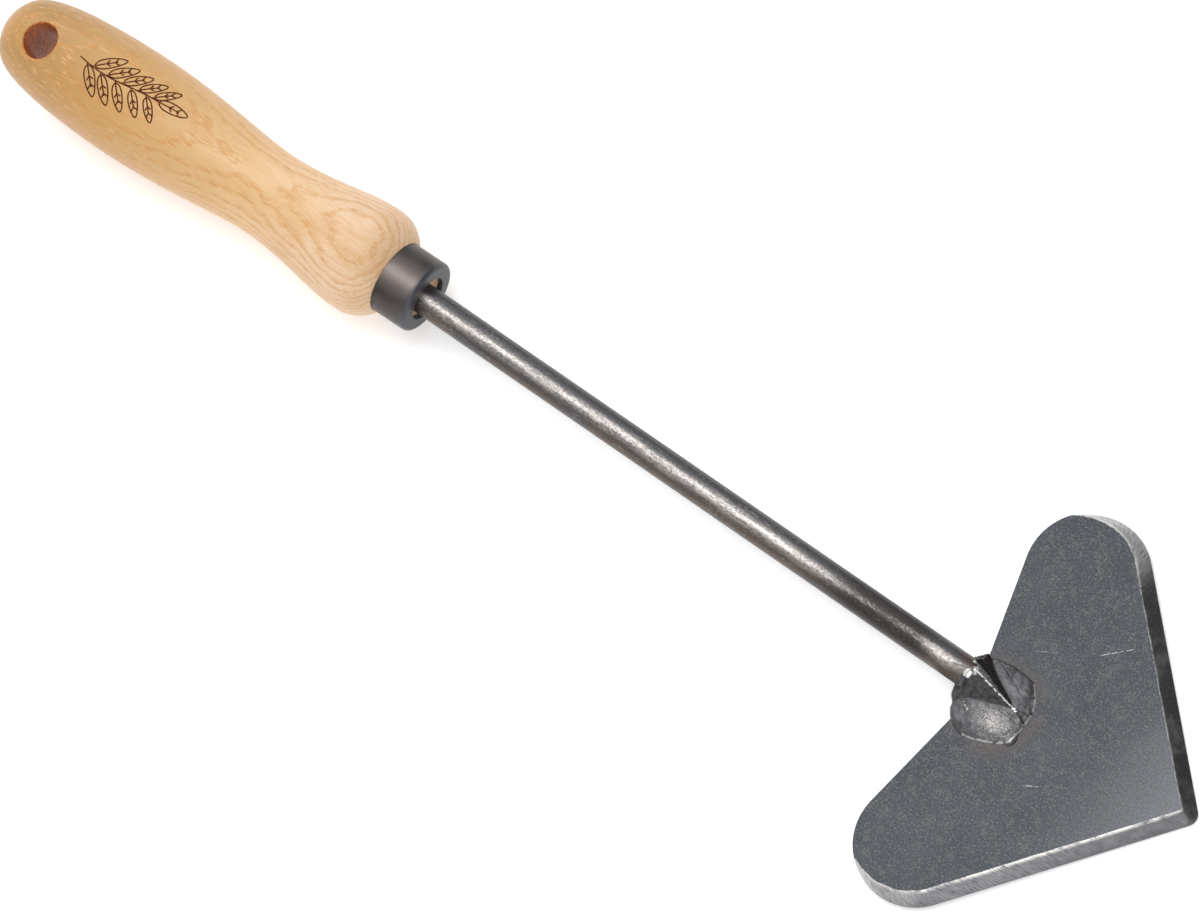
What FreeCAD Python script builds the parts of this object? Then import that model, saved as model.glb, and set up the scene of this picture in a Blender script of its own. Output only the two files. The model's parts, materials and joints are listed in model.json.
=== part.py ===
# Heart-shaped hand hoe: a flat steel heart welded to a round bar, in a turned ash handle.
# X runs along the bar, from the butt of the handle to the tip of the blade.
# Z is square to the blade. The blade's flat back is z = 0 and its bevelled face looks up.
# The origin is on the blade's back, under the bar, level with the centres of the two lobes.
import FreeCAD, Part
import math
import os

from FreeCAD import Vector

# driving dimensions, in millimetres and degrees

# blade
blade_thick = 3.0
lobe_radius = 15.85
lobe_reach = 39.5        # lobe centre to the blade's own axis
tip_ahead = 57.1         # sharp tip ahead of the line through the lobe centres
notch_behind = 7.8       # notch behind that line
tip_round = 3.0          # rounding of the tip, in plan
blade_aside = -1.65      # the blade sits a little to one side of the bar
blade_turn = 4.8         # and is turned a little, as it was tacked by hand
bevel_wide = 3.6         # ground band, in plan
edge_land = 0.7          # blunt edge left under the bevel
bevel_runout = 46.0      # how far behind a lobe's widest point the bevel dies out
bevel_share = 0.77       # its width half way round, as a share of the full width
crest_round = 0.5        # rounding of the tip where the bevels meet the face

# bar
bar_radius = 4.0
axis_high = blade_thick + bar_radius
tang_depth = 62.0        # tang inside the handle, from the ferrule's face
tang_straight = 24.0     # full-size stretch of the tang
tang_tip_radius = 2.5

# ferrule
ferrule_front = -183.0
ferrule_long = 10.5
ferrule_radius = 9.85
ferrule_wall = 1.5
ferrule_mouth = 6.0      # radius of the hole in its end
ferrule_edge = 1.2

# handle
handle_long = 125.9      # butt to shoulder
waist_radius = 11.4
grip_radius = 14.4
swell_radius = 14.85
shoulder_curve = 10.0    # radius of the arc from the swell down to the ferrule
swell_from_butt = 117.4
hole_from_butt = 14.9
hole_radius = 4.75
hole_ease = 0.6
handle_turn = 7.3        # the handle is driven on with its hole turned this far about its axis
handle_lean = 0.96       # and is a little askew to the bar, in plan
lean_pivot = ferrule_front - 31.0    # where the leaning axis crosses the bar's

# weld and the ground end of the bar
weld_radius = 10.6
weld_flat = 3.0          # half height of the flattened bead
weld_at = Vector(-2.2, -2.3, 2.0)
weld_floor = 0.5
roof_top = Vector(-9.1, 1.3, axis_high + bar_radius)
roof_toe = Vector(5.8, -0.9, blade_thick)
roof_right = Vector(-11.8, 7.85, blade_thick)
roof_left = Vector(-11.5, -6.4, blade_thick)

clear = 60.0             # size of the blocks and drills that only cut away

up = Vector(0, 0, 1)
along = Vector(1, 0, 0)


def polar(centre, radius, degrees):
    """Point at a radius and angle about a centre, in plan."""
    a = math.radians(degrees)
    return centre + Vector(radius * math.cos(a), radius * math.sin(a), 0)


def arc(centre, radius, start, end):
    """Arc through three points, from one angle to another."""
    middle = polar(centre, radius, (start + end) / 2)
    ends = polar(centre, radius, start), polar(centre, radius, end)
    return Part.Arc(ends[0], middle, ends[1]).toShape()


def line(a, b):
    return Part.makeLine(a, b)


def tangent_angle(far, radius, side):
    """Angle about the lobe's centre at which a line from a point on the axis touches the lobe."""
    gap = Vector(far, 0, 0) - Vector(0, lobe_reach, 0)
    toward = math.degrees(math.atan2(gap.y, gap.x))
    return toward + side * math.degrees(math.acos(radius / gap.Length))


def half_outline(level, inset, tip_radius):
    """Edges of the blade's left half, tip to notch, with the bevelled stretch set in."""
    centre = Vector(0, lobe_reach, level)
    front = tangent_angle(tip_ahead, lobe_radius, 1)
    back = tangent_angle(-notch_behind, lobe_radius, -1) + 360
    runout = 90 + bevel_runout

    # a corner on the axis, rounded: the tip's centre is set back along the axis
    tip = tip_ahead - inset / math.cos(math.radians(front))
    tip_centre = Vector(tip - tip_radius / math.cos(math.radians(front)), 0, level)
    start = polar(centre, lobe_radius - inset, front)
    edges = [arc(tip_centre, tip_radius, 0, front)]
    edges.append(line(polar(tip_centre, tip_radius, front), start))

    # round the lobe the band narrows, and dies out behind the widest point
    middle = polar(centre, lobe_radius - inset * bevel_share, (front + runout) / 2)
    edges.append(Part.Arc(start, middle, polar(centre, lobe_radius, runout)).toShape())
    edges.append(arc(centre, lobe_radius, runout, back))
    notch = Vector(-notch_behind, 0, level)
    edges.append(line(polar(centre, lobe_radius, back), notch))
    return edges


def outline(level, inset, tip_radius):
    """The whole heart: the left half and its mirror image."""
    left = half_outline(level, inset, tip_radius)
    return left + [e.mirror(Vector(), Vector(0, 1, 0)) for e in left]


def make_blade():
    """Heart plate, its upper face bevelled along the two tip-side edges and round the lobes."""
    rim = outline(edge_land, 0, tip_round)
    crest = outline(blade_thick, bevel_wide, crest_round)
    half = len(rim) // 2
    slab_wire = Part.Wire(Part.__sortEdges__(rim))
    slab_wire.translate(Vector(0, 0, -edge_land))
    slab = Part.Face(slab_wire).extrude(up * edge_land)
    sides = [Part.makeRuledSurface(low, high) for low, high in zip(rim, crest)]
    caps = [Part.Face(Part.Wire(Part.__sortEdges__(edges))) for edges in (rim, crest)]
    shell = Part.makeShell(sides + caps)
    shell.sewShape()
    top = Part.makeSolid(Part.Shell(shell.Faces))
    plate = slab.fuse(top).removeSplitter()
    plate.rotate(Vector(), up, blade_turn)
    plate.translate(Vector(0, blade_aside, 0))
    return plate.Solids[0]


def rod(radius, start, end):
    return Part.makeCylinder(radius, end - start, Vector(start, 0, axis_high), along)


def above_plane(a, b, c):
    """A block on the upper side of the plane through three points."""
    normal = (b - a).cross(c - a).normalize()
    if normal.z < 0:
        normal = normal * -1
    block = Part.makeBox(clear, clear, clear, Vector(-clear / 2, -clear / 2, 0))
    block.Placement = FreeCAD.Placement(a, FreeCAD.Rotation(up, normal))
    return block


def make_tang():
    """The bar's end inside the handle: straight, then tapered."""
    straight = rod(bar_radius, ferrule_front - tang_straight, ferrule_front)
    taper = Part.makeCone(tang_tip_radius, bar_radius, tang_depth - tang_straight,
                          Vector(ferrule_front - tang_depth, 0, axis_high), along)
    return straight.fuse(taper)


def make_shank():
    """Round bar from the tang to the blade, its end ground to a roof that dies into the plate."""
    bar = rod(bar_radius, ferrule_front, roof_toe.x + 2)
    bar = bar.cut(above_plane(roof_top, roof_toe, roof_right))
    bar = bar.cut(above_plane(roof_top, roof_toe, roof_left))
    whole = bar.fuse(make_tang()).removeSplitter()
    return max(whole.Solids, key=lambda s: s.Volume)


def make_weld(blade, shank):
    """One flattened bead over the notch, with ground gussets either side of the bar's roof."""
    bead = Part.makeSphere(weld_radius, Vector())
    squash = FreeCAD.Matrix()
    squash.scale(1, 1, weld_flat / weld_radius)
    bead = bead.transformGeometry(squash)
    bead.translate(weld_at)
    below = Part.makeBox(clear, clear, clear, Vector(-clear / 2, -clear / 2, weld_floor - clear))
    bead = bead.cut(below)

    corners = [roof_top, roof_toe, roof_right, roof_left]
    faces = []
    for left_out in corners:
        ring = [p for p in corners if p is not left_out]
        faces.append(Part.Face(Part.makePolygon(ring + [ring[0]])))
    gusset = Part.makeSolid(Part.makeShell(faces))
    if gusset.Volume < 0:
        gusset.reverse()
    weld = bead.fuse(gusset).cut(blade).cut(shank)
    return max(weld.Solids, key=lambda s: s.Volume)


def as_driven(shape):
    """Turn handle or ferrule about its axis, then lean it, as it sits on the tang."""
    shape.rotate(Vector(0, 0, axis_high), along, handle_turn)
    shape.rotate(Vector(lean_pivot, 0, 0), up, handle_lean)
    return shape


def make_ferrule():
    """Steel cap over the handle's end, with a round mouth for the bar."""
    back = ferrule_front - ferrule_long
    cap = rod(ferrule_radius, back, ferrule_front)
    rims = [e for e in cap.Edges if abs(e.BoundBox.XMin - ferrule_front) < 1e-3
            and e.BoundBox.XLength < 1e-3]
    cap = cap.makeFillet(ferrule_edge, rims)
    cap = cap.cut(rod(ferrule_radius - ferrule_wall, back - 1, ferrule_front - ferrule_wall))
    return as_driven(cap.cut(rod(ferrule_mouth, back, ferrule_front + 1)).Solids[0])


def handle_profile():
    """Points of the turned outline, butt to swell: distance from the butt, and radius."""
    return [(0, 0), (1.5, 5.55), (4.4, 9.2), (9.1, 11.4), (17, 13.0), (28, 14.0),
            (44.4, grip_radius), (69, 12.7), (85.3, waist_radius), (101.6, 12.95),
            (110, 14.3), (swell_from_butt, swell_radius)]


def make_handle():
    """Turned ash handle with a tenon under the ferrule, a tang hole and a hole to hang it by."""
    butt = ferrule_front - ferrule_long - handle_long
    points = [Vector(butt + x, 0, r) for x, r in handle_profile()]
    skin = Part.BSplineCurve()
    skin.interpolate(Points=points, InitialTangent=up, FinalTangent=along, Scale=False)

    # the swell rolls over to the shoulder on a plain arc
    swell = points[-1]
    hub = swell - up * shoulder_curve
    ahead = math.asin((handle_long - swell_from_butt) / shoulder_curve)
    rim = [hub + Vector(math.sin(a), 0, math.cos(a)) * shoulder_curve for a in (ahead / 2, ahead)]
    roll = Part.Arc(swell, rim[0], rim[1]).toShape()

    tenon_radius = ferrule_radius - ferrule_wall
    tenon_end = ferrule_front - ferrule_wall
    stops = [rim[1], Vector(rim[1].x, 0, tenon_radius), Vector(tenon_end, 0, tenon_radius),
             Vector(tenon_end, 0, 0), points[0]]
    edges = [skin.toShape(), roll] + [line(a, b) for a, b in zip(stops, stops[1:])]
    turned = Part.Face(Part.Wire(edges)).revolve(Vector(), along, 360)
    turned.translate(Vector(0, 0, axis_high))
    return drill_handle(turned, butt)


def drill_handle(turned, butt):
    """Bore the hanging hole, ease its two mouths, and open the tang hole."""
    x = butt + hole_from_butt
    bore = Part.makeCylinder(hole_radius, clear, Vector(x, 0, axis_high - clear / 2), up)
    wood = turned.cut(bore)
    rims = [e for e in wood.Edges if e.BoundBox.XLength < 2.2 * hole_radius
            and e.BoundBox.YLength < 2.2 * hole_radius and e.BoundBox.ZLength < 5
            and abs(e.BoundBox.Center.x - x) < 1]
    wood = as_driven(wood.makeFillet(hole_ease, rims))
    return wood.cut(make_tang()).Solids[0]


blade = make_blade()
shank = make_shank()
weld = make_weld(blade, shank)
pieces = {
    "handle": make_handle(),
    "ferrule": make_ferrule(),
    "shank": shank,
    "blade": blade,
    "weld": weld,
}

os.makedirs("parts", exist_ok=True)
for name, shape in pieces.items():
    shape.exportStep(f"parts/{name}.step")
    box = shape.BoundBox
    print(name, shape.isValid(), shape.ShapeType, round(shape.Volume, 1), "x", round(box.XMin, 1),
          round(box.XMax, 1), "y", round(box.YMin, 1), round(box.YMax, 1), "z",
          round(box.ZMin, 2), round(box.ZMax, 2))
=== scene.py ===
import json
import math

import bpy
from mathutils import Matrix, Vector, noise


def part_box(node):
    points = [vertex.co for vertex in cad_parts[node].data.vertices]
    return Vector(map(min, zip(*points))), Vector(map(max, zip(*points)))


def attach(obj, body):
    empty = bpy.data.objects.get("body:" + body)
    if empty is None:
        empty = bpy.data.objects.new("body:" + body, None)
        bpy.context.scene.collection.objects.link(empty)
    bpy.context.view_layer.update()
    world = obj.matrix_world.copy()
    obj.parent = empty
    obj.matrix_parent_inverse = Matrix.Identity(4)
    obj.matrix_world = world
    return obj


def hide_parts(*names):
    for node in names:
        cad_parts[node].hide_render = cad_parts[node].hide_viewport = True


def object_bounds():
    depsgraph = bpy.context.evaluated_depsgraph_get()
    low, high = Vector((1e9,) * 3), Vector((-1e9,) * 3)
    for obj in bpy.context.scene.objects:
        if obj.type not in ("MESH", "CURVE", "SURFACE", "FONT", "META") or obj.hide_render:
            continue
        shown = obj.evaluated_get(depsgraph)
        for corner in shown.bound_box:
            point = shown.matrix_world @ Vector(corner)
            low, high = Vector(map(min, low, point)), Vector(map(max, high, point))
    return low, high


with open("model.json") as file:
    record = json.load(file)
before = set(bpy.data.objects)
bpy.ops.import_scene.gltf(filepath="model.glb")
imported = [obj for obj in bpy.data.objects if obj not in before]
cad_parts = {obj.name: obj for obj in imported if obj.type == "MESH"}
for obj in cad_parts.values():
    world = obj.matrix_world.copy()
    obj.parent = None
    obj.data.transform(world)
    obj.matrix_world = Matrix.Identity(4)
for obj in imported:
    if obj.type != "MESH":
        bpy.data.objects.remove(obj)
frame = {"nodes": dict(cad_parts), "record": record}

cadLow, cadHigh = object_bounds()
scene = bpy.context.scene
mm = 0.001


# small helpers for node trees

def newMaterial(name):
    material = bpy.data.materials.new(name)
    material.use_nodes = True
    material.node_tree.nodes.clear()
    return material, material.node_tree


def addNode(tree, kind, inputs=None, **settings):
    node = tree.nodes.new(kind)
    for key, value in settings.items():
        setattr(node, key, value)
    for key, value in (inputs or {}).items():
        if isinstance(value, bpy.types.NodeSocket):
            tree.links.new(value, node.inputs[key])
        else:
            node.inputs[key].default_value = value
    return node


def calc(tree, operation, first, second=0.0, third=0.0):
    inputs = {0: first, 1: second, 2: third}
    return addNode(tree, "ShaderNodeMath", inputs, operation=operation).outputs[0]


def times(tree, first, *others):
    for other in others:
        first = calc(tree, "MULTIPLY", first, other)
    return first


def rescale(tree, value, factor, offset):
    return calc(tree, "MULTIPLY_ADD", value, factor, offset)


def smooth(tree, value, low, high):
    # 0 below low, 1 above high; low may be the larger of the two
    node = addNode(tree, "ShaderNodeMapRange", {0: value, 1: low, 2: high, 3: 0.0, 4: 1.0},
                   interpolation_type="SMOOTHSTEP")
    return node.outputs[0]


def vectorMath(tree, operation, first, second, output="Vector"):
    node = addNode(tree, "ShaderNodeVectorMath", {0: first, 1: second}, operation=operation)
    return node.outputs[output]


def separate(tree, vector):
    return addNode(tree, "ShaderNodeSeparateXYZ", {0: vector}).outputs


def colour(rgb):
    return (rgb[0], rgb[1], rgb[2], 1.0)


def blendColour(tree, factor, first, second):
    first = colour(first) if isinstance(first, tuple) else first
    second = colour(second) if isinstance(second, tuple) else second
    return addNode(tree, "ShaderNodeMix", {0: factor, 6: first, 7: second}, data_type="RGBA").outputs[2]


def layer(tree, base, rgb, mask, amount=1.0):
    # one more colour over the base, as strong as the mask says, times the amount
    return blendColour(tree, mask if amount == 1.0 else times(tree, mask, amount), base, rgb)


def ramp(tree, value, stops):
    node = addNode(tree, "ShaderNodeValToRGB", {0: value})
    marks = node.color_ramp.elements
    while len(marks) < len(stops):
        marks.new(0.5)
    for mark, (place, rgb) in zip(marks, stops):
        mark.position = place
        mark.color = colour(rgb)
    return node.outputs[0]


def millimetres(tree, stretch=(1, 1, 1), turn=(0, 0, 0), shift=(0, 0, 0)):
    # the piece's own coordinates, in millimetres, squeezed along its axes by stretch
    place = addNode(tree, "ShaderNodeTexCoord").outputs["Object"]
    turned = addNode(tree, "ShaderNodeMapping", {"Vector": place, "Rotation": turn})
    scale = tuple(s / mm for s in stretch)
    return addNode(tree, "ShaderNodeMapping", {"Vector": turned.outputs[0], "Scale": scale,
                                               "Location": shift}).outputs[0]


def noiseOver(tree, vector, scale, detail, rough, twist=0.0):
    inputs = {"Vector": vector, "Scale": scale, "Detail": detail, "Roughness": rough,
              "Distortion": twist}
    return addNode(tree, "ShaderNodeTexNoise", inputs).outputs[0]


def grain(tree, stretch, detail, rough, twist=0.0, **placing):
    # noise whose specks are about 1 / stretch millimetres along each axis
    if not isinstance(stretch, tuple):
        stretch = (stretch, stretch, stretch)
    return noiseOver(tree, millimetres(tree, stretch, **placing), 1.0, detail, rough, twist)


def told(tree, name):
    # a number stored on the mesh's corners
    return addNode(tree, "ShaderNodeAttribute", attribute_name=name).outputs["Fac"]


def finishMaterial(tree, base, rough, metal=0.0, bumps=(), coat=0.0, coatRough=0.2, specular=0.5):
    inputs = {"Base Color": base, "Roughness": rough, "Metallic": metal, "Coat Weight": coat,
              "Coat Roughness": coatRough, "Specular IOR Level": specular}
    for height, strength, distance in bumps:
        bump = {"Height": height, "Strength": strength, "Distance": distance}
        if "Normal" in inputs:
            bump["Normal"] = inputs["Normal"]
        inputs["Normal"] = addNode(tree, "ShaderNodeBump", bump).outputs[0]
    shader = addNode(tree, "ShaderNodeBsdfPrincipled", inputs)
    output = addNode(tree, "ShaderNodeOutputMaterial")
    tree.links.new(shader.outputs[0], output.inputs[0])
    return shader


# small helpers for meshes

def dress(piece, *materials):
    piece.data.materials.clear()
    for material in materials:
        piece.data.materials.append(material)


def makePiece(name, corners, faces, materials, faceSlots=None, flat=False):
    mesh = bpy.data.meshes.new(name)
    mesh.from_pydata([tuple(c) for c in corners], [], faces)
    piece = bpy.data.objects.new(name, mesh)
    scene.collection.objects.link(piece)
    dress(piece, *materials)
    if faceSlots:
        mesh.polygons.foreach_set("material_index", faceSlots)
    mesh.polygons.foreach_set("use_smooth", [not flat] * len(mesh.polygons))
    mesh.update()
    return piece


def stitchRings(rings, first, last):
    # a closed skin: equal rings from the bottom up, one point below them and one above
    count = len(rings[0])
    corners = [Vector(spot) for ring in rings for spot in ring] + [Vector(first), Vector(last)]
    bottom, top = len(corners) - 2, len(corners) - 1
    row = (len(rings) - 1) * count
    faces = []
    for r in range(len(rings) - 1):
        for i in range(count):
            j = (i + 1) % count
            faces.append((r * count + i, r * count + j, (r + 1) * count + j, (r + 1) * count + i))
    faces += [(bottom, (i + 1) % count, i) for i in range(count)]
    faces += [(top, row + i, row + (i + 1) % count) for i in range(count)]
    return corners, faces


def storeNumbers(piece, name, kind, field, numbers):
    attribute = piece.data.attributes.new(name, kind, "POINT")
    attribute.data.foreach_set(field, numbers)


def runModifier(piece, kind, **settings):
    modifier = piece.modifiers.new(kind.lower(), kind)
    for key, value in settings.items():
        setattr(modifier, key, value)
    with bpy.context.temp_override(object=piece, active_object=piece):
        bpy.ops.object.modifier_apply(modifier=modifier.name)


# camera

cameraSet = {
    "lens": 300.0, "sensor": 36.0,
    "place": Vector((700.0, -364.8, 2324.5)) * mm,
    "right": Vector((0.77699, 0.6025, -0.18244)),
    "back": Vector((0.33048, -0.14373, 0.9328)),
    "clip": (0.05, 20.0),
}


def makeCamera():
    data = bpy.data.cameras.new("camera")
    data.lens = cameraSet["lens"]
    data.sensor_width = cameraSet["sensor"]
    data.clip_start, data.clip_end = cameraSet["clip"]
    camera = bpy.data.objects.new("camera", data)
    scene.collection.objects.link(camera)
    back = cameraSet["back"].normalized()
    right = (cameraSet["right"] - back * cameraSet["right"].dot(back)).normalized()
    rising = back.cross(right)
    turn = Matrix((right, rising, back)).transposed()
    camera.matrix_world = Matrix.Translation(cameraSet["place"]) @ turn.to_4x4()
    scene.camera = camera
    print("camera placed")


# handle: turned ash under satin lacquer

ashSet = {
    "butt": (0.395, 0.220, 0.080),
    "middle": (0.550, 0.320, 0.122),
    "waist": (0.77, 0.510, 0.275),
    "swell": (0.78, 0.565, 0.378),
    "warm": (0.60, 0.340, 0.120),
    "ringLine": (0.60, 0.265, 0.060),
    "pore": (0.54, 0.230, 0.050),
    "paleDash": (0.88, 0.68, 0.46),
    "inHole": (0.76, 0.230, 0.040),
    "holeDark": (0.26, 0.085, 0.022),
    "ringGap": 1.65,
    "heartDepth": 95.0,      # how far below the handle the tree's heart lay
    "heartAside": -2.5,
}


def ashMaterial():
    material, tree = newMaterial("ashLacquered")
    plain = millimetres(tree)
    x, y, z = separate(tree, plain)

    # growth rings are wide shells round the tree's heart, seen where the turning cuts them
    across = calc(tree, "SUBTRACT", y, ashSet["heartAside"])
    deep = calc(tree, "ADD", z, ashSet["heartDepth"])
    shell = calc(tree, "SQRT", calc(tree, "ADD", times(tree, across, across), times(tree, deep, deep)))
    sway = grain(tree, (0.030, 0.05, 0.05), 1.0, 0.5, shift=(3.1, 0, 0))
    ripple = grain(tree, (0.16, 0.30, 0.30), 2.0, 0.5)
    tooth = grain(tree, (0.9, 3.4, 3.4), 2.0, 0.6)
    for bend, amount in ((sway, 4.2), (ripple, 2.1), (tooth, 0.35)):
        shell = rescale(tree, bend, amount, shell)
    ring = calc(tree, "FRACT", calc(tree, "DIVIDE", shell, ashSet["ringGap"]))
    early = times(tree, smooth(tree, ring, 0.0, 0.16), smooth(tree, ring, 0.62, 0.14))

    # open pores are short dashes along the grain, most of them in the early wood
    dashes = grain(tree, (0.26, 3.1, 3.1), 2.0, 0.6)
    pores = times(tree, smooth(tree, dashes, 0.53, 0.64), rescale(tree, early, 0.72, 0.28))
    pale = smooth(tree, dashes, 0.47, 0.37)
    fibre = grain(tree, (0.13, 2.2, 2.2), 4.0, 0.6)
    cloud = grain(tree, (0.035, 0.08, 0.08), 2.0, 0.5)

    # the wood is browner at the butt and palest on the swell
    low, high = (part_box("handle")[side].x / mm for side in (0, 1))
    share = calc(tree, "DIVIDE", calc(tree, "SUBTRACT", x, low), high - low)
    base = ramp(tree, share, [(0.06, ashSet["butt"]), (0.30, ashSet["middle"]),
                              (0.60, ashSet["waist"]), (0.84, ashSet["swell"])])
    base = layer(tree, base, ashSet["warm"], smooth(tree, cloud, 0.62, 0.34), 0.40)
    base = layer(tree, base, ashSet["ringLine"], early, 0.44)
    base = layer(tree, base, ashSet["warm"], smooth(tree, fibre, 0.44, 0.66), 0.36)
    base = layer(tree, base, ashSet["pore"], pores, 0.40)
    base = layer(tree, base, ashSet["paleDash"], times(tree, pale, early), 0.32)

    # the drilled wall of the hanging hole is bare and brown, with a ragged edge
    mount = next(m for m in frame["record"]["mounts"] if m["name"] == "hang_hole")
    radius = mount["dims"]["r_mm"]
    ragged = rescale(tree, fibre, 0.5, holeDistance(tree, plain, mount))
    bored = blendColour(tree, smooth(tree, dashes, 0.40, 0.62), ashSet["inHole"], ashSet["holeDark"])
    base = blendColour(tree, smooth(tree, ragged, radius + 0.8, radius + 0.3), base, bored)

    rough = rescale(tree, pores, 0.25, 0.40)
    height = calc(tree, "SUBTRACT", times(tree, fibre, 0.35), pores)
    finishMaterial(tree, base, rough, bumps=[(height, 0.4, 0.10 * mm)], coat=0.10, coatRough=0.26,
                   specular=0.3)
    return material


def holeDistance(tree, plain, mount):
    # distance from the axis of the hanging hole, in millimetres
    gap = vectorMath(tree, "SUBTRACT", plain, tuple(c / mm for c in mount["pos_m"]))
    beam = vectorMath(tree, "CROSS_PRODUCT", gap, tuple(mount["axis"]))
    return addNode(tree, "ShaderNodeVectorMath", {0: beam}, operation="LENGTH").outputs["Value"]


# burnt line mark on the handle: a plain sprig of leaves, no lettering

markSet = {
    "middle": (-275.7, -0.3),
    "halfLong": 16.5,
    "line": 0.19,            # half the width of a burnt line
    "proud": 0.035,
    "sunk": 0.12,            # how deep the underside of a line lies in the wood
    "leaf": (8.2, 3.3),      # length and width of a leaf
    "pairsAt": (-13.0, -8.4, -3.8, 0.8, 5.2),
    "leafTurn": 0.78,
    "burnt": (0.085, 0.024, 0.010),
    "faded": (0.22, 0.090, 0.035),
}


def leafStrokes(root, heading, length, width):
    # closed outline of one leaf, its midrib and two veins on each side
    along = Vector((math.cos(heading), math.sin(heading)))
    side = Vector((-along.y, along.x))
    rim = []
    for step in range(28):
        a = 2 * math.pi * step / 28
        far = 0.5 - 0.5 * math.cos(a)
        wide = math.sin(a) * (1 - 0.35 * far) * width / 2
        rim.append(root + along * (0.8 + far * length) + side * wide)
    strokes = [(rim, True), ([root + along * (t * length * 0.09) for t in range(10)], False)]
    for share in (0.36, 0.62):
        for way in (1, -1):
            start = root + along * (0.8 + share * length)
            end = start + along * 0.95 + side * way * width * 0.27
            strokes.append(([start.lerp(end, t / 3) for t in range(4)], False))
    return strokes


def sprigStrokes():
    # each stroke is a path and whether it closes: the stem, pairs of leaves and one at the end
    half = markSet["halfLong"]
    length, width = markSet["leaf"]

    def stemAt(u):
        return Vector((u, 1.1 * math.sin(u * 0.16)))

    strokes = [([stemAt(-half + step * (2 * half - 8.5) / 40) for step in range(41)], False)]
    for count, u in enumerate(markSet["pairsAt"]):
        size = 1.0 - 0.05 * count
        for way in (1, -1):
            strokes += leafStrokes(stemAt(u + 0.9 * way), way * markSet["leafTurn"],
                                   length * size, width * size)
    return strokes + leafStrokes(stemAt(half - 8.9), 0.12, length, width)


def makeMark():
    handle = frame["nodes"]["handle"]
    toHandle = handle.matrix_world.inverted()
    above = 60.0
    corners, faces = [], []
    strokes = sprigStrokes()
    for path, closed in strokes:
        start, count = len(corners), len(path)
        for i, spot in enumerate(path):
            before = path[i - 1] if closed or i else spot
            after = path[(i + 1) % count] if closed or i < count - 1 else spot
            ahead = (after - before).normalized()
            side = Vector((-ahead.y, ahead.x)) * markSet["line"]
            for way in (1, -1):
                # each edge of the line drops straight onto the wood
                flat = Vector(markSet["middle"]) + spot + side * way
                point = handle.ray_cast(toHandle @ (Vector((flat.x, flat.y, above)) * mm),
                                        Vector((0, 0, -1)))[1]
                place = handle.matrix_world @ point
                corners.append(place + Vector((0, 0, markSet["proud"] * mm)))
                corners.append(place - Vector((0, 0, markSet["sunk"] * mm)))
        for i in range(count if closed else count - 1):
            a, b = start + 4 * i, start + 4 * ((i + 1) % count)
            faces += [(a, b, b + 2, a + 2), (a + 2, b + 2, b + 3, a + 3),
                      (a + 3, b + 3, b + 1, a + 1), (a + 1, b + 1, b, a)]
        if not closed:
            last = start + 4 * (count - 1)
            faces += [(start, start + 2, start + 3, start + 1), (last, last + 1, last + 3, last + 2)]
    mark = makePiece("burnt_sprig", corners, faces, [burntMaterial()], flat=True)
    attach(mark, "root")
    print("mark made, lines:", len(strokes))


def burntMaterial():
    material, tree = newMaterial("burntLine")
    char = grain(tree, 1.1, 3.0, 0.6)
    base = blendColour(tree, smooth(tree, char, 0.48, 0.74), markSet["burnt"], markSet["faded"])
    finishMaterial(tree, base, 0.9, bumps=[(char, 0.4, 0.05 * mm)], specular=0.1)
    return material


# ferrule

ferruleSet = {
    "dark": (0.058, 0.049, 0.047),
    "light": (0.092, 0.078, 0.074),
    "wearAndHighlight": (0.240, 0.202, 0.190),
    "cool": (0.082, 0.082, 0.090),
    "highlightAt": -0.7,          # the painted highlight runs along the top, this far to one side
    "highlightWide": 5.6,
}


def ferruleMaterial():
    material, tree = newMaterial("ferruleSteel")
    x, y, z = separate(tree, millimetres(tree))
    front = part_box("ferrule")[1].x / mm
    drawn = grain(tree, (0.9, 0.10, 0.10), 4.0, 0.6)
    speck = grain(tree, 2.4, 3.0, 0.6)
    stain = grain(tree, (0.10, 0.20, 0.20), 3.0, 0.5)
    base = blendColour(tree, smooth(tree, stain, 0.35, 0.65), ferruleSet["dark"], ferruleSet["light"])
    # painted highlight along the top, drawn as blacking thinned by handling
    away = calc(tree, "ABSOLUTE", calc(tree, "SUBTRACT", y, ferruleSet["highlightAt"]))
    away = rescale(tree, stain, 2.4, calc(tree, "SUBTRACT", away, 1.2))
    wearAndHighlight = times(tree, smooth(tree, away, ferruleSet["highlightWide"], 0.0), smooth(tree, z, 9.0, 14.0),
                 rescale(tree, speck, 0.5, 0.55))
    base = layer(tree, base, ferruleSet["wearAndHighlight"], wearAndHighlight)
    base = layer(tree, base, ferruleSet["cool"], smooth(tree, x, front - 1.9, front - 0.9))
    rough = rescale(tree, speck, 0.14, 0.34)
    finishMaterial(tree, base, rough, 0.6, [(drawn, 0.10, 0.04 * mm), (speck, 0.15, 0.02 * mm)],
                   specular=0.35)
    return material


# bar: mill scale, with a painted highlight along its length

barSet = {
    "scale": (0.085, 0.084, 0.090),
    "brown": (0.110, 0.085, 0.070),
    "steel": (0.66, 0.62, 0.59),
    "pit": (0.030, 0.028, 0.028),
    "burnt": (0.050, 0.045, 0.044),
    "tinge": (0.100, 0.062, 0.040),
    "burntFrom": (-62.0, -42.0),     # the dark stretch fades in and out along the bar
    "burntTo": (-27.0, -18.0),
    "tingeFrom": (-17.0, -11.0),
}


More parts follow.
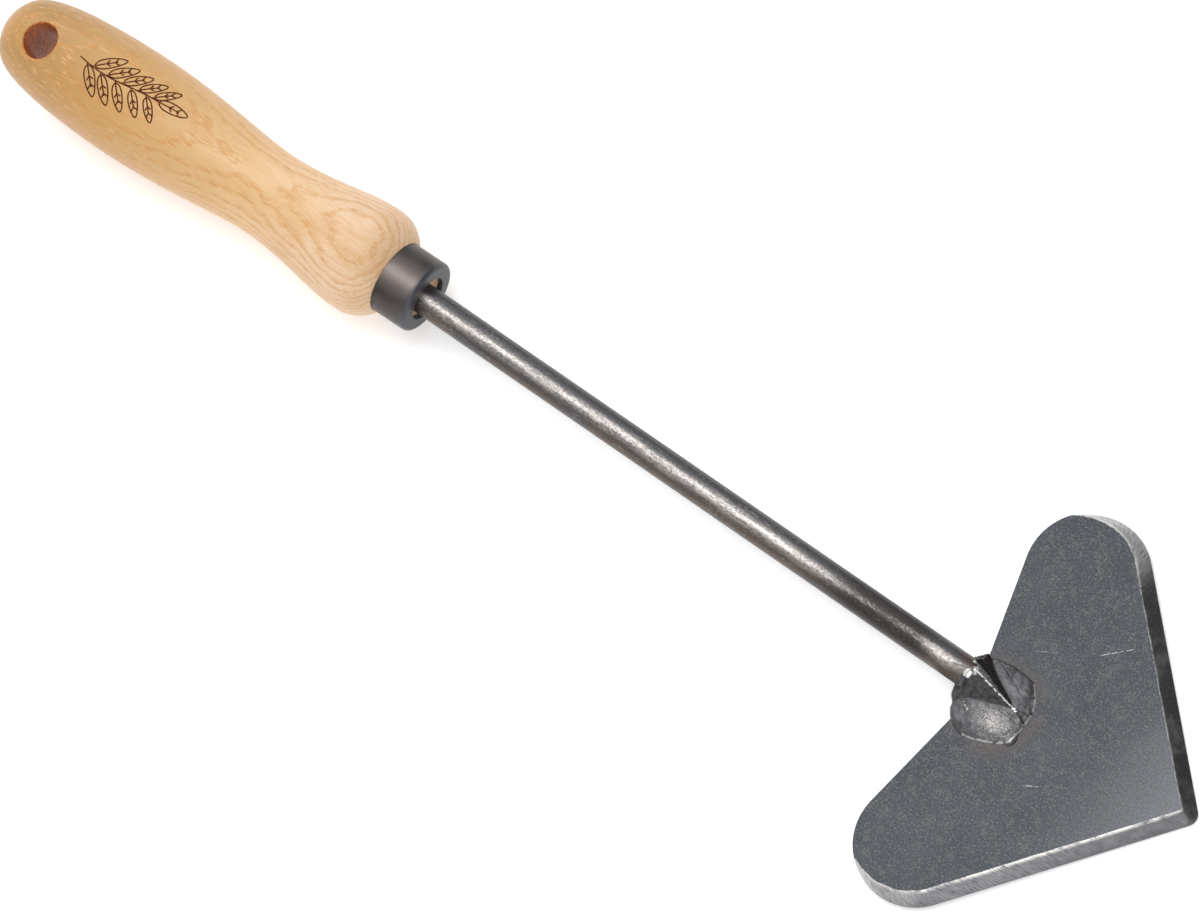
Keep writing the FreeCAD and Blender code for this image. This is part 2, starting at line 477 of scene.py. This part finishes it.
def barMaterial():
    material, tree = newMaterial("barSteel")
    x, y, z = separate(tree, millimetres(tree))
    streak = grain(tree, (0.09, 0.9, 0.9), 3.0, 0.6)
    grit = grain(tree, (1.1, 1.9, 1.9), 3.0, 0.7)
    fine = grain(tree, (2.6, 3.6, 3.6), 2.0, 0.6)
    patch = grain(tree, (0.05, 0.2, 0.2), 2.0, 0.6, 0.4)
    # a painted highlight strip runs along the upper side, a little to one flank, speckled like bare steel;
    # the lower flank is brown
    wander = rescale(tree, patch, 1.2, y)
    strip = times(tree, smooth(tree, wander, -2.6, 0.1), smooth(tree, wander, 2.2, 0.3),
                  smooth(tree, z, 7.6, 10.2))
    bare = rescale(tree, grit, 0.45, rescale(tree, fine, 0.25, times(tree, streak, 0.30)))
    paintedHighlight = times(tree, strip, rescale(tree, smooth(tree, bare, 0.40, 0.61), 0.74, 0.22))
    stray = times(tree, smooth(tree, bare, 0.52, 0.66), 0.30)
    base = blendColour(tree, times(tree, smooth(tree, y, 1.2, -2.2), smooth(tree, patch, 0.30, 0.55)),
                       barSet["scale"], barSet["brown"])
    # bare steel colour, both for the painted highlight strip and for stray bare spots
    base = layer(tree, base, barSet["steel"], calc(tree, "MAXIMUM", paintedHighlight, stray))
    base = layer(tree, base, barSet["pit"], smooth(tree, grit, 0.40, 0.30), 0.6)
    # the weld's heat left a dark stretch of scale, over which the painted highlight fades out, then a brown
    # tinge close up
    hot = times(tree, smooth(tree, x, *barSet["burntFrom"]), smooth(tree, x, *barSet["burntTo"][::-1]),
                rescale(tree, smooth(tree, bare, 0.50, 0.62), -0.3, 0.96))
    base = layer(tree, base, barSet["burnt"], hot)
    tinge = times(tree, smooth(tree, x, *barSet["tingeFrom"]), smooth(tree, y, 0.2, 2.4))
    base = layer(tree, base, barSet["tinge"], tinge, 0.7)
    rough = rescale(tree, grit, 0.30, 0.22)
    finishMaterial(tree, base, rough, 0.7, [(grit, 0.5, 0.10 * mm), (streak, 0.25, 0.12 * mm)],
                   specular=0.3)
    return material


# blade

bladeSet = {
    "lobeRadius": 15.85, "lobeReach": 39.5, "tipAhead": 57.1, "notchBehind": 7.8,
    "tipRound": 3.0, "aside": -1.65, "turn": 4.8,
    "bevelWide": 3.6, "edgeLand": 0.7, "bevelRunout": 46.0,
    "bevelRings": 6,
    "lipEase": 0.18,         # broken corner along every other edge
    "middle": 20.0,          # the faces' rings close on a point this far ahead
    "crease": 22.0,
    "scale": (0.061, 0.067, 0.076),
    "darkScaleAndShade": (0.042, 0.047, 0.055),
    "paintedTipLight": (0.175, 0.180, 0.197),
    "mottle": (0.135, 0.14, 0.145),
    "paleSpeck": (0.21, 0.21, 0.21),
    "darkSpeck": (0.024, 0.029, 0.040),
    "heat": (0.105, 0.078, 0.062),
    "bright": (0.50, 0.50, 0.50),
    # scratches: start, end, width
    "scratches": [((11.9, 22.6), (18.0, 28.8), 0.15), ((16.2, -14.6), (19.8, -12.6), 0.16),
                  ((-2.0, 14.5), (3.0, 17.5), 0.06)],
}


def bladeTop():
    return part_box("blade")[1].z / mm


def tangentTurn(far, side):
    # angle about the lobe's centre where a line from a point on the axis touches the lobe
    gap = Vector((far, -bladeSet["lobeReach"]))
    return math.atan2(gap.y, gap.x) + side * math.acos(bladeSet["lobeRadius"] / gap.length)


def halfHeart(inset):
    # the left half from tip to notch: (x, y, outward angle, share of the bevel left)
    radius, reach = bladeSet["lobeRadius"], bladeSet["lobeReach"]
    front = tangentTurn(bladeSet["tipAhead"], 1)
    back = tangentTurn(-bladeSet["notchBehind"], -1) + 2 * math.pi
    runout = math.radians(90 + bladeSet["bevelRunout"])
    tipRound = max(bladeSet["tipRound"] - inset * 0.8, 0.35)
    tipX = bladeSet["tipAhead"] - (inset + tipRound) / math.cos(front)
    points = []
    for step in range(8):
        angle = front * step / 8
        points.append((tipX + tipRound * math.cos(angle), tipRound * math.sin(angle), angle, 1.0))
    start = Vector((tipX + tipRound * math.cos(front), tipRound * math.sin(front)))
    inner = radius - inset
    end = Vector((inner * math.cos(front), reach + inner * math.sin(front)))
    for step in range(90):
        spot = start.lerp(end, step / 90)
        points.append((spot.x, spot.y, front, 1.0))
    for step in range(96):
        angle = front + (back - front) * step / 96
        # the band narrows round the lobe and dies out behind its widest point
        left = (runout - angle) / (runout - front)
        share = 1 - (1 - left) ** 2 if left > 0 else 0.0
        far = radius - inset * share
        points.append((far * math.cos(angle), reach + far * math.sin(angle), angle, share))
    spot = Vector((radius * math.cos(back), reach + radius * math.sin(back)))
    notch = Vector((-bladeSet["notchBehind"], 0))
    for step in range(60):
        place = spot.lerp(notch, step / 60)
        points.append((place.x, place.y, back, 0.0))
    return points


def heartLoop(inset):
    left = halfHeart(inset)
    right = [(x, -y, -angle, share) for x, y, angle, share in left[1:]]
    notch = [(-bladeSet["notchBehind"], 0.0, math.pi, 0.0)]
    return left + notch + right[::-1]


def bevelSpot(outer, crest, across, thick):
    # a point on the upper skin: 0 at the rim, 1 at the crest of the bevel
    x, y, angle, share = outer[0], outer[1], outer[2], crest[3]
    ease, land = bladeSet["lipEase"], bladeSet["edgeLand"]
    plain = thick - ease + ease * across
    if share <= 0.001:
        return x - ease * across * math.cos(angle), y - ease * across * math.sin(angle), plain

    def wander(size, scale, seed):
        return size * noise.noise(Vector((x * scale, y * scale, seed)))

    # ground by hand, so the bevel is a little hollow and neither flat nor straight
    hollow = 0.10 * math.sin(math.pi * across)
    rough = wander(0.05, 0.5, 3 + across) + wander(0.03, 1.7, 9)
    lift = land + (thick - land) * across + (hollow + rough) * share
    cross = wander(0.12, 0.16, 21) * share * across
    mixed = min(1.0, share * 3)
    return (x + (crest[0] - x) * across - cross * math.cos(angle),
            y + (crest[1] - y) * across - cross * math.sin(angle),
            min(thick, lift * mixed + plain * (1 - mixed)))


def makeBlade():
    thick = (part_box("blade")[1].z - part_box("blade")[0].z) / mm
    rim, crest = heartLoop(0), heartLoop(bladeSet["bevelWide"])
    ease, steps, hub = bladeSet["lipEase"], bladeSet["bevelRings"], bladeSet["middle"]
    count = len(rim)

    def closing(loop, z):
        return [[(hub + (x - hub) * factor, y * factor, z) for x, y, old in loop]
                for factor in (0.992, 0.975, 0.94, 0.88, 0.78, 0.64, 0.46, 0.26, 0.10)]

    foot = [(x - ease * math.cos(angle), y - ease * math.sin(angle), 0.0) for x, y, angle, share in rim]
    side = [(x, y, ease) for x, y, angle, share in rim]
    bevel = [[bevelSpot(rim[i], crest[i], step / steps, thick) for i in range(count)]
             for step in range(steps + 1)]
    bevel[-1] = [(x, y, thick) for x, y, z in bevel[-1]]
    under = closing(foot, 0.0)[::-1]
    rings = under + [foot, side] + bevel + closing(bevel[-1], thick)
    corners, faces = stitchRings(rings, (hub, 0.0, 0.0), (hub, 0.0, thick))
    turn = Matrix.Rotation(math.radians(bladeSet["turn"]), 3, "Z")
    aside = Vector((0, bladeSet["aside"], 0))
    corners = [(turn @ spot + aside) * mm for spot in corners]

    firstBevel = len(under) + 2
    ground = [point[3] > 0.02 for point in crest]
    slots = []
    for r in range(len(rings) - 1):
        onBevel = firstBevel <= r < firstBevel + steps
        slots += [1 if onBevel and ground[i] else 0 for i in range(count)]
    slots += [0] * (2 * count)
    blade = makePiece("heart_blade", corners, faces, [bladeMaterial(), bevelMaterial()], slots)

    # how far along the edge and how far up the bevel each corner lies, for the grinding marks
    walked, distance = 0.0, []
    for i in range(count):
        distance.append(walked)
        j = (i + 1) % count
        walked += math.hypot(rim[j][0] - rim[i][0], rim[j][1] - rim[i][1])
    runs, glows = [], []
    for r in range(len(rings)):
        across = (r - firstBevel) / steps * bladeSet["bevelWide"]
        for i in range(count):
            runs += [distance[i], across, 0.0]
            glows.append(1.0 if r == firstBevel + steps and ground[i] else 0.0)
    storeNumbers(blade, "edgeRun", "FLOAT_VECTOR", "vector", runs + [0.0] * 6)
    storeNumbers(blade, "lipGlow", "FLOAT", "value", glows + [0.0] * 2)
    blade.data.shade_smooth()
    edges = blade.modifiers.new("creases", "EDGE_SPLIT")
    edges.split_angle = math.radians(bladeSet["crease"])
    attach(blade, "root")
    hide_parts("blade")
    print("blade made, corners:", len(corners))


def scratch(tree, start, end, width):
    # one straight scratch between two points of the face, broken into dashes
    start, end = Vector(start), Vector(end)
    heading = math.atan2(end.y - start.y, end.x - start.x)
    middle = (start + end) / 2
    local = vectorMath(tree, "SUBTRACT", millimetres(tree), (middle.x, middle.y, 0))
    turned = addNode(tree, "ShaderNodeVectorRotate", {"Vector": local, "Angle": -heading},
                     rotation_type="Z_AXIS").outputs[0]
    along, aside = (calc(tree, "ABSOLUTE", axis) for axis in list(separate(tree, turned))[:2])
    half = (end - start).length / 2
    dash = noiseOver(tree, turned, 1.6, 2.0, 0.6)
    return times(tree, smooth(tree, along, half, half * 0.85), smooth(tree, aside, width, width * 0.4),
                 smooth(tree, dash, 0.42, 0.52))


def bladeMaterial():
    material, tree = newMaterial("bladeScale")
    plain = millimetres(tree)
    x, y, z = separate(tree, plain)
    cloud = grain(tree, 0.09, 5.0, 0.65, 0.3)
    mottle = grain(tree, 0.5, 4.0, 0.75)
    speck = grain(tree, 2.0, 3.0, 0.75)
    dot = grain(tree, 1.7, 1.0, 0.5, shift=(40, 0, 0))
    base = blendColour(tree, smooth(tree, cloud, 0.25, 0.75), bladeSet["darkScaleAndShade"], bladeSet["scale"])
    # painted reflection of a soft light, paler toward the tip, and painted shade, darker up on the left lobe
    base = layer(tree, base, bladeSet["paintedTipLight"], smooth(tree, x, 22.0, 56.0), 0.75)
    base = layer(tree, base, bladeSet["darkScaleAndShade"], smooth(tree, y, 10.0, 42.0), 0.45)
    base = layer(tree, base, bladeSet["mottle"], smooth(tree, mottle, 0.48, 0.66), 0.45)
    base = layer(tree, base, bladeSet["paleSpeck"], smooth(tree, speck, 0.53, 0.66), 0.55)
    base = layer(tree, base, bladeSet["darkSpeck"], smooth(tree, speck, 0.46, 0.34), 0.65)
    # a brown halo of heat round the weld
    hub = weldSet["hub"]
    gap = vectorMath(tree, "DISTANCE", plain, (hub.x, hub.y, bladeTop()), "Value")
    heat = times(tree, smooth(tree, gap, 15.5, 11.0), smooth(tree, cloud, 0.35, 0.6))
    base = layer(tree, base, bladeSet["heat"], heat, 0.40)
    marks = smooth(tree, dot, 0.80, 0.84)
    for start, end, width in bladeSet["scratches"]:
        marks = calc(tree, "MAXIMUM", marks, scratch(tree, start, end, width))
    # painted highlight and burnish along the lip on the face side of the crest, laid on with the scratches
    # and dots
    wearAndHighlight = times(tree, smooth(tree, told(tree, "lipGlow"), 0.35, 0.9), smooth(tree, mottle, 0.40, 0.56))
    base = layer(tree, base, bladeSet["bright"], calc(tree, "MAXIMUM", times(tree, marks, 0.8), wearAndHighlight))
    rough = rescale(tree, mottle, 0.20, 0.38)
    finishMaterial(tree, base, rough, 0.5, [(speck, 0.35, 0.03 * mm), (mottle, 0.2, 0.10 * mm)],
                   specular=0.35)
    return material


bevelSet = {
    "groove": (0.075, 0.078, 0.085),
    "ground": (0.30, 0.30, 0.315),
    "crown": (0.62, 0.61, 0.61),
    "nearTip": (0.085, 0.088, 0.095),
    "leftShade": (0.045, 0.043, 0.045),
    "patch": (0.30, 0.295, 0.295),
    "lip": (0.86, 0.84, 0.80),
    "rust": (0.10, 0.07, 0.055),
    "slant": 0.75,           # how far the grinding lines lean from square to the edge
}


def bevelMaterial():
    material, tree = newMaterial("bevelGround")
    x, y, z = separate(tree, millimetres(tree))
    run = addNode(tree, "ShaderNodeAttribute", attribute_name="edgeRun").outputs["Vector"]
    across = separate(tree, run)[1]
    slanted = addNode(tree, "ShaderNodeMapping", {"Vector": run, "Rotation": (0, 0, bevelSet["slant"])})
    drawn = addNode(tree, "ShaderNodeMapping", {"Vector": slanted.outputs[0], "Scale": (0.35, 4.0, 1.0)})
    lines = noiseOver(tree, drawn.outputs[0], 1.0, 4.0, 0.75)
    broad = grain(tree, 0.22, 3.0, 0.6)
    speck = grain(tree, 2.4, 3.0, 0.6)
    base = blendColour(tree, smooth(tree, lines, 0.32, 0.68), bevelSet["groove"], bevelSet["ground"])
    # painted highlight round the crowns, darker toward the tip, and nearly black painted shade along the
    # left edge
    crown = times(tree, smooth(tree, x, 14.0, 6.0), rescale(tree, smooth(tree, lines, 0.35, 0.6), 0.7, 0.2))
    base = layer(tree, base, bevelSet["crown"], crown)
    base = layer(tree, base, bevelSet["nearTip"], smooth(tree, x, 24.0, 44.0), 0.60)
    left = times(tree, smooth(tree, y, -2.0, 6.0), smooth(tree, x, 4.0, 12.0))
    base = layer(tree, base, bevelSet["leftShade"], left, 0.80)
    base = layer(tree, base, bevelSet["patch"], smooth(tree, broad, 0.45, 0.72), 0.35)
    # a bright lip where the grinding meets the face, partly burnish and partly a painted highlight, weaker
    # under the painted shade of the left edge
    near = smooth(tree, across, rescale(tree, left, 0.6, 2.6), 3.55)
    uneven = rescale(tree, lines, 0.5, times(tree, broad, 0.5))
    lip = times(tree, near, smooth(tree, uneven, 0.38, 0.56), rescale(tree, left, -0.55, 1.0))
    base = layer(tree, base, bevelSet["lip"], lip)
    base = layer(tree, base, bevelSet["rust"], smooth(tree, speck, 0.66, 0.74), 0.6)
    rough = rescale(tree, lines, 0.25, 0.28)
    finishMaterial(tree, base, rough, 0.7, [(lines, 0.5, 0.03 * mm), (broad, 0.3, 0.1 * mm)])
    return material


# weld

weldSet = {
    "hub": Vector((-2.2, -2.3)),
    # distance of the rim from the hub, every 15 degrees from straight ahead
    "rim": [9.7, 10.2, 10.5, 10.8, 11.4, 11.2, 10.8, 11.0, 11.7, 12.2, 11.6, 11.3,
            11.3, 11.1, 10.4, 10.8, 11.3, 11.1, 10.5, 9.8, 9.9, 10.3, 10.8, 10.0],
    "crown": 1.7,            # height of the bead over the plate
    "under": 0.6,            # how near the blade's back the bead comes, past the notch
    "ridgeTop": Vector((-9.1, 1.3, 11.0)),
    "ridgeToe": Vector((5.8, -0.9, 3.0)),
    "rightFoot": Vector((-11.1, 7.7, 3.0)),
    "leftFoot": Vector((-11.3, -7.2, 3.0)),
    "skin": 0.14,            # how far the ground facets stand off the bar's own end
    # lumps of filler: middle and half sizes
    "lumps": [((-10.6, 0.6, 6.4), (1.5, 4.35, 4.2)), ((-9.5, -0.1, 10.5), (0.7, 2.0, 0.6)),
              ((-6.6, -6.3, 3.2), (1.2, 2.2, 1.5)), ((6.0, -6.6, 3.1), (2.2, 2.4, 0.9))],
    "grooves": (2.6, 5.0),
    "voxel": 0.21,
    "beadDark": (0.078, 0.080, 0.085), "beadPale": (0.122, 0.123, 0.128),
    "crack": (0.040, 0.040, 0.044),
    "beadHighlight": (0.58, 0.55, 0.53),
    "facetDark": (0.052, 0.052, 0.056), "facetPale": (0.120, 0.120, 0.124),
    "stripDark": (0.10, 0.10, 0.105), "stripPale": (0.46, 0.455, 0.45),
    "shadeDark": (0.022, 0.019, 0.019), "shadePale": (0.060, 0.052, 0.050),
    "burnishAndHighlight": (0.86, 0.85, 0.83),
}


def rimReach(angle):
    rim = weldSet["rim"]
    place = (math.degrees(angle) % 360) / (360 / len(rim))
    first = int(place) % len(rim)
    return rim[first] + (rim[(first + 1) % len(rim)] - rim[first]) * (place - int(place))


def beadShell():
    # a closed lens: flat underside hidden in the plate, rounded rim, dome over the plate
    hub, plate, crown = weldSet["hub"], bladeTop(), weldSet["crown"]
    floor = weldSet["under"] - plate
    profile = [(0.4, floor), (0.80, -2.3), (0.94, -1.7), (1.0, -0.9), (1.0, 0.0),
               (0.95, 0.30 * crown), (0.87, 0.52 * crown), (0.75, 0.72 * crown),
               (0.6, 0.86 * crown), (0.4, 0.95 * crown), (0.2, 0.99 * crown)]
    turns = [2 * math.pi * k / 96 for k in range(96)]
    rings = [[(hub.x + rimReach(a) * share * math.cos(a), hub.y + rimReach(a) * share * math.sin(a),
               plate + lift) for a in turns] for share, lift in profile]
    return stitchRings(rings, (hub.x, hub.y, plate + floor), (hub.x, hub.y, plate + crown))


def ridgeCorners():
    # both ends of the ridge, then the right and left feet of the ground roof
    skin = Vector((0, 0, weldSet["skin"]))
    return [weldSet[name] + skin for name in ("ridgeTop", "ridgeToe", "rightFoot", "leftFoot")]


def roofShell():
    # the two ground facets either side of the ridge, closed at the back and below
    top, toe, right, left = ridgeCorners()
    drop = Vector((0, 0, -2.0))
    corners = [top, toe, right, left, toe + drop, right + drop, left + drop]
    faces = [(0, 1, 2), (0, 3, 1), (0, 2, 5, 6, 3), (1, 4, 5, 2), (3, 6, 4, 1), (4, 6, 5)]
    return corners, faces


def webShell():
    # the web that fills the corner between the bar's flank and the right foot
    foot = weldSet["rightFoot"]
    corners = [Vector((-12.4, 3.3, 8.6)), foot + Vector((0, -0.1, 0.1)), Vector((-9.1, 1.6, 10.0)),
               Vector((-10.6, 1.0, 2.2)), foot + Vector((0.3, -0.6, -1.4))]
    faces = [(0, 2, 1), (0, 1, 4), (0, 4, 3), (0, 3, 2), (1, 2, 4), (2, 3, 4)]
    return corners, faces


def lumpShell(middle, radii, rows=12):
    rings = []
    for r in range(rows - 1, 0, -1):
        high = math.pi * r / rows
        turns = [math.pi * k / rows for k in range(2 * rows)]
        rings.append([(middle[0] + math.sin(high) * math.cos(a) * radii[0],
                       middle[1] + math.sin(high) * math.sin(a) * radii[1],
                       middle[2] + math.cos(high) * radii[2]) for a in turns])
    x, y, z = middle
    return stitchRings(rings, (x, y, z - radii[2]), (x, y, z + radii[2]))


def makeWeld():
    shells = [beadShell(), roofShell(), webShell()]
    shells += [lumpShell(middle, radii) for middle, radii in weldSet["lumps"]]
    corners, faces = [], []
    for points, rings in shells:
        start = len(corners)
        corners += [p * mm for p in points]
        faces += [tuple(start + i for i in face) for face in rings]
    weld = makePiece("weld_bead", corners, faces, [weldMaterial()])
    runModifier(weld, "REMESH", mode="VOXEL", voxel_size=weldSet["voxel"] * mm)
    runModifier(weld, "SMOOTH", factor=0.5, iterations=2)
    roughenWeld(weld)
    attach(weld, "root")
    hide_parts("weld")
    print("weld made, corners:", len(weld.data.vertices))


def planeGap(point, a, b, c):
    return (point - a).dot((b - a).cross(c - a).normalized())


def lineGap(point, a, b):
    along = b - a
    share = max(0.0, min(1.0, (point - a).dot(along) / along.dot(along)))
    return (point - a - along * share).length


def fade(value, low, high):
    share = max(0.0, min(1.0, (value - low) / (high - low)))
    return share * share * (3 - 2 * share)


def ridgeGap(spot, top, toe):
    # distance from the ridge, which wanders a little to either side
    jog = 0.75 * noise.noise(Vector((spot.x * 0.7, 3, 1))) + 0.35 * noise.noise(Vector((spot.x * 2.0, 7, 1)))
    return lineGap(spot + Vector((0, jog, 0)), top, toe)


def shineAt(spot, near, plate):
    # how much burnish and painted highlight the weld gets, from 0 to 1: first the ridge, partly burnish and
    # partly a painted highlight
    wide = 0.30 + 0.18 * noise.noise(Vector((spot.x * 1.3, 3.0, 1.0))) - 0.08 * fade(spot.x, 2, 6)
    shine = 1.0 if spot.z > plate + 0.3 and near < wide else 0.0
    # a painted highlight on the ragged lip where the bar's round ends and the grinding starts
    if spot.z > 9.7 and spot.x < -8.3 and spot.y > -1.7:
        shine = max(shine, 0.9 * fade(noise.noise(spot * 1.1), -0.55, -0.1))
    # a painted highlight along the outer rim ahead and below
    x, y = spot.x - weldSet["hub"].x, spot.y - weldSet["hub"].y
    reach = math.hypot(x, y) / rimReach(math.atan2(y, x))
    if 0.95 < reach < 0.995 and spot.z > plate - 0.1 and (spot.x > 3 or spot.y < -8 and spot.x > -4):
        shine = max(shine, 0.60 * fade(noise.noise(spot * 0.9), -0.5, -0.1))
    # a painted glint beside the left facet
    if abs(spot.y + 6.6 + 0.5 * (spot.x + 7.4)) < 0.22 and abs(spot.x + 7.4) < 1.0:
        shine = max(shine, 0.8 * fade(noise.noise(spot * 2.4), -0.2, 0.1))
    return shine


def beadSwell(spot):
    # rise and fall of the bead, with two flow grooves that run forward on the right side
    push = 0.24 * noise.noise(spot * 0.38) + 0.10 * noise.noise(spot * 0.9)
    push += 0.03 * noise.noise(spot * 2.6)
    if spot.y > 1:
        for shift in weldSet["grooves"]:
            groove = abs(spot.y - shift + 0.42 * (spot.x + 1) + 0.35 * noise.noise(spot * 0.5))
            push -= 0.10 * fade(-groove, -0.24, 0.0) * fade(-spot.x, -4.5, -2.5)
    return push


def roughenWeld(weld):
    # moves the skin a little and stores what the material needs at each corner
    top, toe, right, left = ridgeCorners()
    plate = bladeTop()
    glow, facet, tone = [], [], []
    for corner in weld.data.vertices:
        spot = corner.co / mm
        onRight, onLeft = (abs(planeGap(spot, top, toe, foot)) for foot in (right, left))
        near = ridgeGap(spot, top, toe)
        high = spot.z > plate + 0.3
        ground = high and min(onRight, onLeft) < 0.2
        web = high and not ground and spot.y > 1.5 and spot.x < -8.8
        glow.append(shineAt(spot, near, plate))
        facet.append(1.0 if ground or web else 0.0)
        # the web in the corner by the bar gets painted shade
        if web:
            tone.append(0.05)
        elif ground and onRight < onLeft:
            # the right facet gets painted shade, black but for a grey strip beside the ridge
            tone.append(0.62 if near < 0.15 + 2.6 * fade(-spot.x, -3.0, 9.0) else 0.05)
        elif ground:
            tone.append(0.36)
        else:
            # painted highlight on the bead, strongest low on its -y side and toward the tip
            patch = math.exp(-((spot.x - 0.2) ** 2 / 24 + (spot.y + 6.4) ** 2 / 14))
            tone.append(0.28 + 0.34 * patch + 0.10 * fade(spot.x, -4, 6))
        push = 0.03 * noise.noise(spot * 1.5) if ground or web else beadSwell(spot)
        corner.co += corner.normal * push * mm
    storeNumbers(weld, "glow", "FLOAT", "value", glow)
    storeNumbers(weld, "facet", "FLOAT", "value", facet)
    storeNumbers(weld, "tone", "FLOAT", "value", tone)
    weld.data.polygons.foreach_set("use_smooth", [True] * len(weld.data.polygons))


def weldMaterial():
    material, tree = newMaterial("weldSteel")
    tone = told(tree, "tone")
    lump = grain(tree, 0.35, 3.0, 0.6, 0.6)
    grit = grain(tree, 2.2, 3.0, 0.7)
    lines = grain(tree, (0.25, 2.2, 2.2), 3.0, 0.6, turn=(0, 0, 0.15))
    bead = blendColour(tree, smooth(tree, lump, 0.38, 0.62), weldSet["beadDark"], weldSet["beadPale"])
    bead = layer(tree, bead, weldSet["crack"], smooth(tree, lines, 0.46, 0.36), 0.32)
    # painted highlight over the bead where its tone and the grit are high
    shine = rescale(tree, grit, 1.5, rescale(tree, tone, 1.1, -1.06))
    bead = layer(tree, bead, weldSet["beadHighlight"], smooth(tree, shine, 0.10, 0.80), 0.85)
    # ground facets: plain on the left, a grey strip by the ridge, black painted shade on the right and in
    # the web
    flat = blendColour(tree, smooth(tree, lines, 0.36, 0.66), weldSet["facetDark"], weldSet["facetPale"])
    strip = blendColour(tree, smooth(tree, grit, 0.42, 0.60), weldSet["stripDark"], weldSet["stripPale"])
    flat = blendColour(tree, smooth(tree, tone, 0.40, 0.60), flat, strip)
    shade = blendColour(tree, smooth(tree, lines, 0.40, 0.62), weldSet["shadeDark"], weldSet["shadePale"])
    flat = blendColour(tree, smooth(tree, tone, 0.25, 0.10), flat, shade)
    base = blendColour(tree, told(tree, "facet"), bead, flat)
    # burnish and painted highlights from the glow numbers
    base = layer(tree, base, weldSet["burnishAndHighlight"], told(tree, "glow"), 0.95)
    rough = rescale(tree, grit, 0.25, 0.30)
    finishMaterial(tree, base, rough, 0.6, [(grit, 0.3, 0.06 * mm), (lines, 0.3, 0.05 * mm)],
                   specular=0.4)
    return material


# floor and light

floorSet = {
    "half": 4.0,
    "touches": -0.2026,      # how far along the handle its swell rests on the floor
    "gap": 0.0002,
    "grey": (0.86, 0.86, 0.86),
    "white": (0.90, 0.90, 0.90),
    "glow": 0.35,
}


def makeFloor():
    # the floor touches the swell of the handle and the tip of the blade, as a bench would
    low = Vector((floorSet["touches"], 0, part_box("handle")[0].z))
    slope = math.atan2(-low.z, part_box("blade")[1].x - low.x)
    half = floorSet["half"]
    corners = [(-half, -half, 0), (half, -half, 0), (half, half, 0), (-half, half, 0)]
    material, tree = newMaterial("paleFloor")
    base = blendColour(tree, grain(tree, 0.02, 3.0, 0.5), floorSet["grey"], floorSet["white"])
    shader = finishMaterial(tree, base, 0.9, specular=0.1)
    shader.inputs["Emission Color"].default_value = (1, 1, 1, 1)
    shader.inputs["Emission Strength"].default_value = floorSet["glow"]
    floor = makePiece("floor", corners, [(0, 1, 2, 3)], [material])
    floor.location = low - Vector((0, 0, floorSet["gap"]))
    floor.rotation_euler = (0, -slope, 0)
    print("floor laid")


lightSet = {
    # soft panels: metres to the right, up and toward the camera from the tool; size; power
    "panels": {
        "key": ((-0.6, 0.95, 1.7), (1.1, 1.1), 15),
        "front": ((0.1, 0.2, 2.4), (1.8, 1.8), 12),
        "below": ((0.0, -1.15, 1.9), (1.6, 0.5), 7),
        "rear": ((-0.6, 1.7, 0.4), (1.8, 0.6), 10),
    },
    # a white studio dome, darker on the camera's right
    "domeLight": (1.0, 1.0, 1.0),
    "domeDark": (0.15, 0.15, 0.16),
    "domePower": 0.55,
}


def addPanel(name, place, target, size, power):
    data = bpy.data.lights.new(name, "AREA")
    data.shape = "RECTANGLE"
    data.size, data.size_y = size
    data.energy = power
    lamp = bpy.data.objects.new(name, data)
    scene.collection.objects.link(lamp)
    lamp.location = place
    lamp.rotation_mode = "QUATERNION"
    lamp.rotation_quaternion = (target - place).to_track_quat("-Z", "Y")


def makeLight():
    centre = (cadLow + cadHigh) / 2
    back = cameraSet["back"].normalized()
    right = cameraSet["right"].normalized()
    rising = back.cross(right)
    for name, ((sideways, upward, toward), size, power) in lightSet["panels"].items():
        place = centre + right * sideways + rising * upward + back * toward
        addPanel(name, place, centre, size, power)
    world = bpy.data.worlds.new("studio")
    world.use_nodes = True
    tree = world.node_tree
    sky = addNode(tree, "ShaderNodeTexCoord").outputs["Generated"]
    facing = vectorMath(tree, "DOT_PRODUCT", sky, tuple(right), "Value")
    shade = blendColour(tree, smooth(tree, facing, 0.0, 0.75), lightSet["domeLight"], lightSet["domeDark"])
    backdrop = tree.nodes["Background"]
    tree.links.new(shade, backdrop.inputs[0])
    backdrop.inputs[1].default_value = lightSet["domePower"]
    scene.world = world
    scene.view_settings.view_transform = "Standard"
    print("light set")


makeCamera()
dress(frame["nodes"]["handle"], ashMaterial())
makeMark()
dress(frame["nodes"]["ferrule"], ferruleMaterial())
dress(frame["nodes"]["shank"], barMaterial())
print("handle, ferrule and bar finished")
makeBlade()
makeWeld()
makeFloor()
makeLight()
